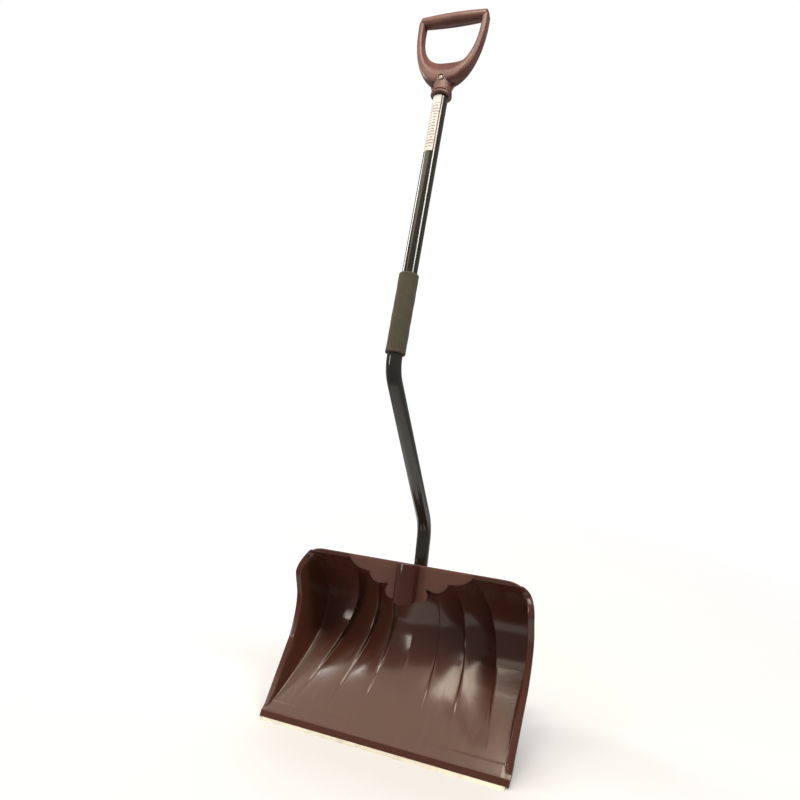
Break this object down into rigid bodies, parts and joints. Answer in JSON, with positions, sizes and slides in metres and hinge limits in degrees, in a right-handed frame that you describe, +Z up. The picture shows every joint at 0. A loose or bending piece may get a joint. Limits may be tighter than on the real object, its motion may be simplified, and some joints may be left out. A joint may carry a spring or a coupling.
{
  "type": "snow shovel",
  "caption": "Snow shovel with a ribbed brown plastic scoop, metal wear strip, double-bent black tube handle, foam sleeve and plastic D-grip, standing leaned back.",
  "frame": {"origin": "middle of the wear strip's ground edge, where the shovel touches the floor", "axes": "+X along the scoop's edge, +Y backwards from the scoop's hollow, +Z up with the shovel leaned back about 15 degrees"},
  "size_m": [0.458, 0.3575, 1.2406],
  "materials": {
    "scoop_plastic": "glossy moulded polypropylene, dark plum brown",
    "strip_steel": "galvanised, dull",
    "rivet_aluminium": "plain",
    "tube_paint": "gloss black paint on steel tube",
    "foam": "closed-cell foam, matt",
    "grip_plastic": "satin moulded plastic, reddish brown",
    "screw_steel": "zinc plated",
    "label_paper": null
  },
  "bodies": {
    "root": {"blade": "scoop_plastic", "wear_strip": "strip_steel", "wear_strip_rivets": "rivet_aluminium", "handle_tube": "tube_paint", "foam_grip": "foam", "d_grip": "grip_plastic", "d_grip_screw": "screw_steel", "socket_screw": "screw_steel", "handle_label": "label_paper"}
  },
  "joints": []
}
